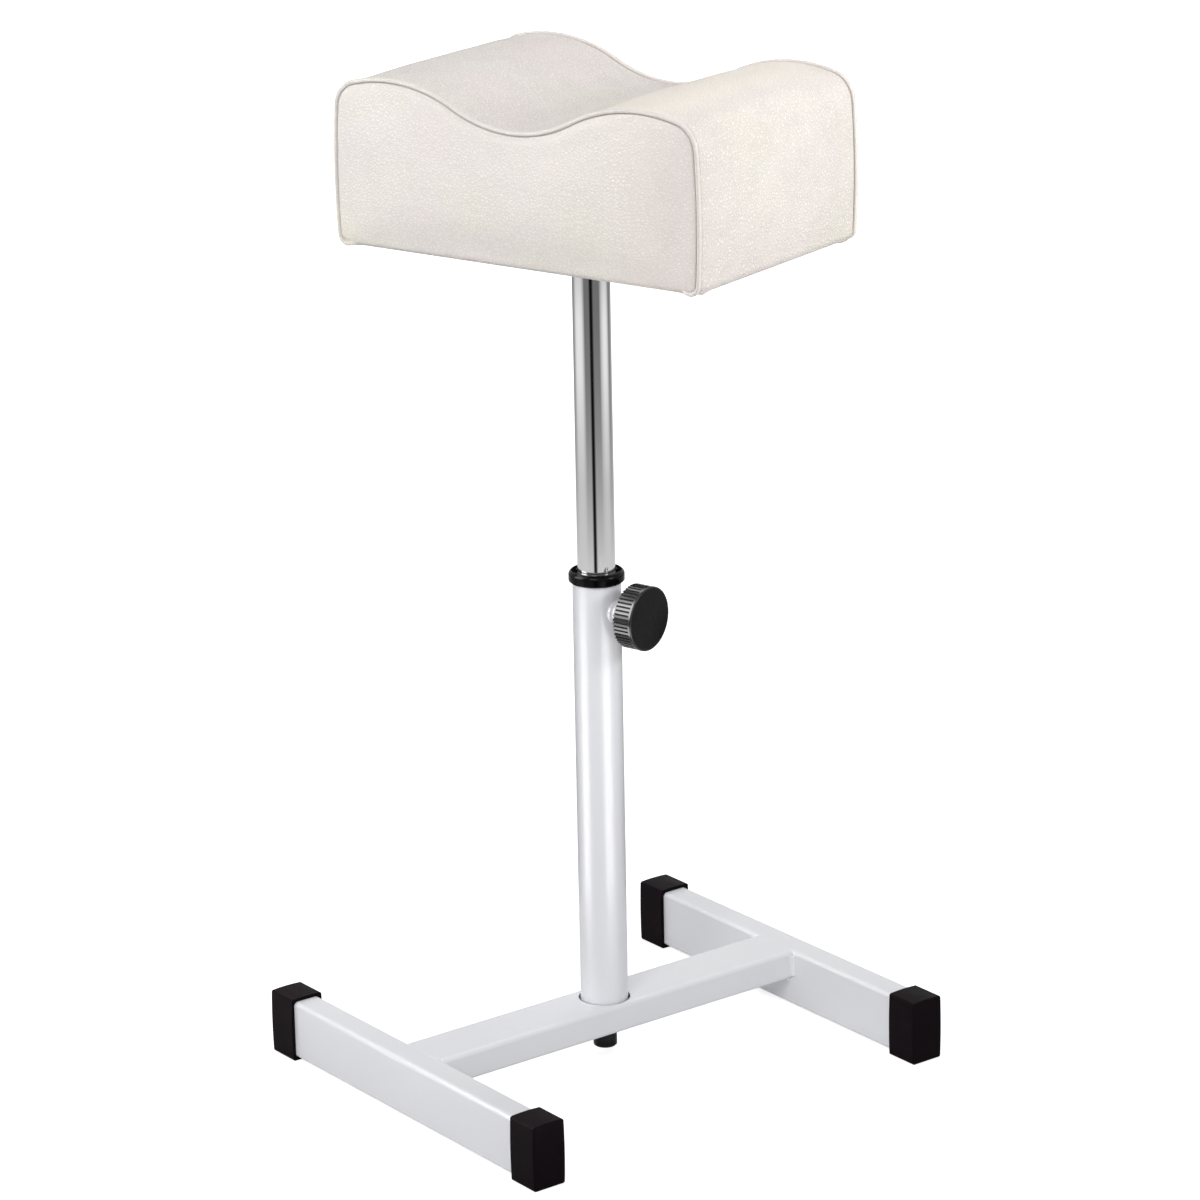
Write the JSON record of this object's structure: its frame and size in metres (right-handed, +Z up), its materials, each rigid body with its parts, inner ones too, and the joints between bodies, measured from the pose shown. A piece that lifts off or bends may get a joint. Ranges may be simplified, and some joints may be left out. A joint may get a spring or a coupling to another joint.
{
  "type": "pedicure footrest",
  "caption": "Height-adjustable leg rest: piped saddle cushion on a chromed mast, clamped in a white column by a ribbed knob, on an H-shaped tube base with black end caps.",
  "frame": {"origin": "on the floor under the column's axis, which is the middle of the base", "axes": "+Z up the column; +X along the two side bars, towards the clamp knob's side; -Y towards the front bar"},
  "size_m": [0.3226, 0.3412, 0.6743],
  "materials": {
    "white_coat": "smooth satin powder coat",
    "chrome": "polished chrome plate",
    "plain_steel": "zinc plated",
    "black_steel": "black oxide",
    "black_plastic": "semi-matte moulded plastic",
    "black_gloss": "glossy moulded plastic",
    "nylon": "natural nylon",
    "plywood": "raw plywood",
    "foam": "soft foam",
    "ivory_leather": "ivory synthetic leather with fine pebble grain",
    "dust_cloth": "black non-woven cloth"
  },
  "bodies": {
    "base": {"front_side_bar": "white_coat", "rear_side_bar": "white_coat", "cross_bar": "white_coat", "junction_welds": "white_coat", "end_cap_front_left": "black_plastic", "end_cap_front_right": "black_plastic", "end_cap_rear_left": "black_plastic", "end_cap_rear_right": "black_plastic", "outer_column": "white_coat", "column_foot_plug": "plain_steel", "centre_bolt": "black_steel", "spring_washer": "black_steel", "bolt_washer": "black_steel", "collar_bush": "black_gloss", "clamp_boss": "white_coat"},
    "clamp_pad": {"pressure_pad": "nylon"},
    "knob": {"clamp_bolt": "plain_steel", "knob_body": "black_plastic", "knob_cap": "black_gloss"},
    "guide": {"guide_bush": "nylon"},
    "mast": {"mast_tube": "chrome", "retaining_ring": "plain_steel", "plate_weld": "chrome", "mount_plate": "chrome", "plate_screws": "plain_steel", "tee_nuts": "plain_steel", "seat_board": "plywood", "foam_core": "foam", "cover_band": "ivory_leather", "front_panel": "ivory_leather", "rear_panel": "ivory_leather", "front_piping": "ivory_leather", "rear_piping": "ivory_leather", "bottom_cloth": "dust_cloth"}
  },
  "joints": [
    {"name": "height", "type": "slide", "parent": "base", "child": "guide", "axis": [0, 0, 1], "range_m": [-0.2, 0.019]},
    {"name": "swivel", "type": "hinge", "parent": "guide", "child": "mast", "pos_m": [0, 0, 0.2574], "axis": [0, 0, 1], "continuous": true},
    {"name": "clamp_travel", "type": "slide", "parent": "base", "child": "clamp_pad", "axis": [0.9613, 0.2756, 0], "range_m": [0, 0.0038]},
    {"name": "knob_turn", "type": "hinge", "parent": "clamp_pad", "child": "knob", "pos_m": [0, 0, 0.3161], "axis": [0.9613, 0.2756, 0], "range_deg": [0, 1080]}
  ],
  "couplings": [
    {"joint": "clamp_travel", "follows": "knob_turn", "m_per_rad": 0.00019894}
  ]
}
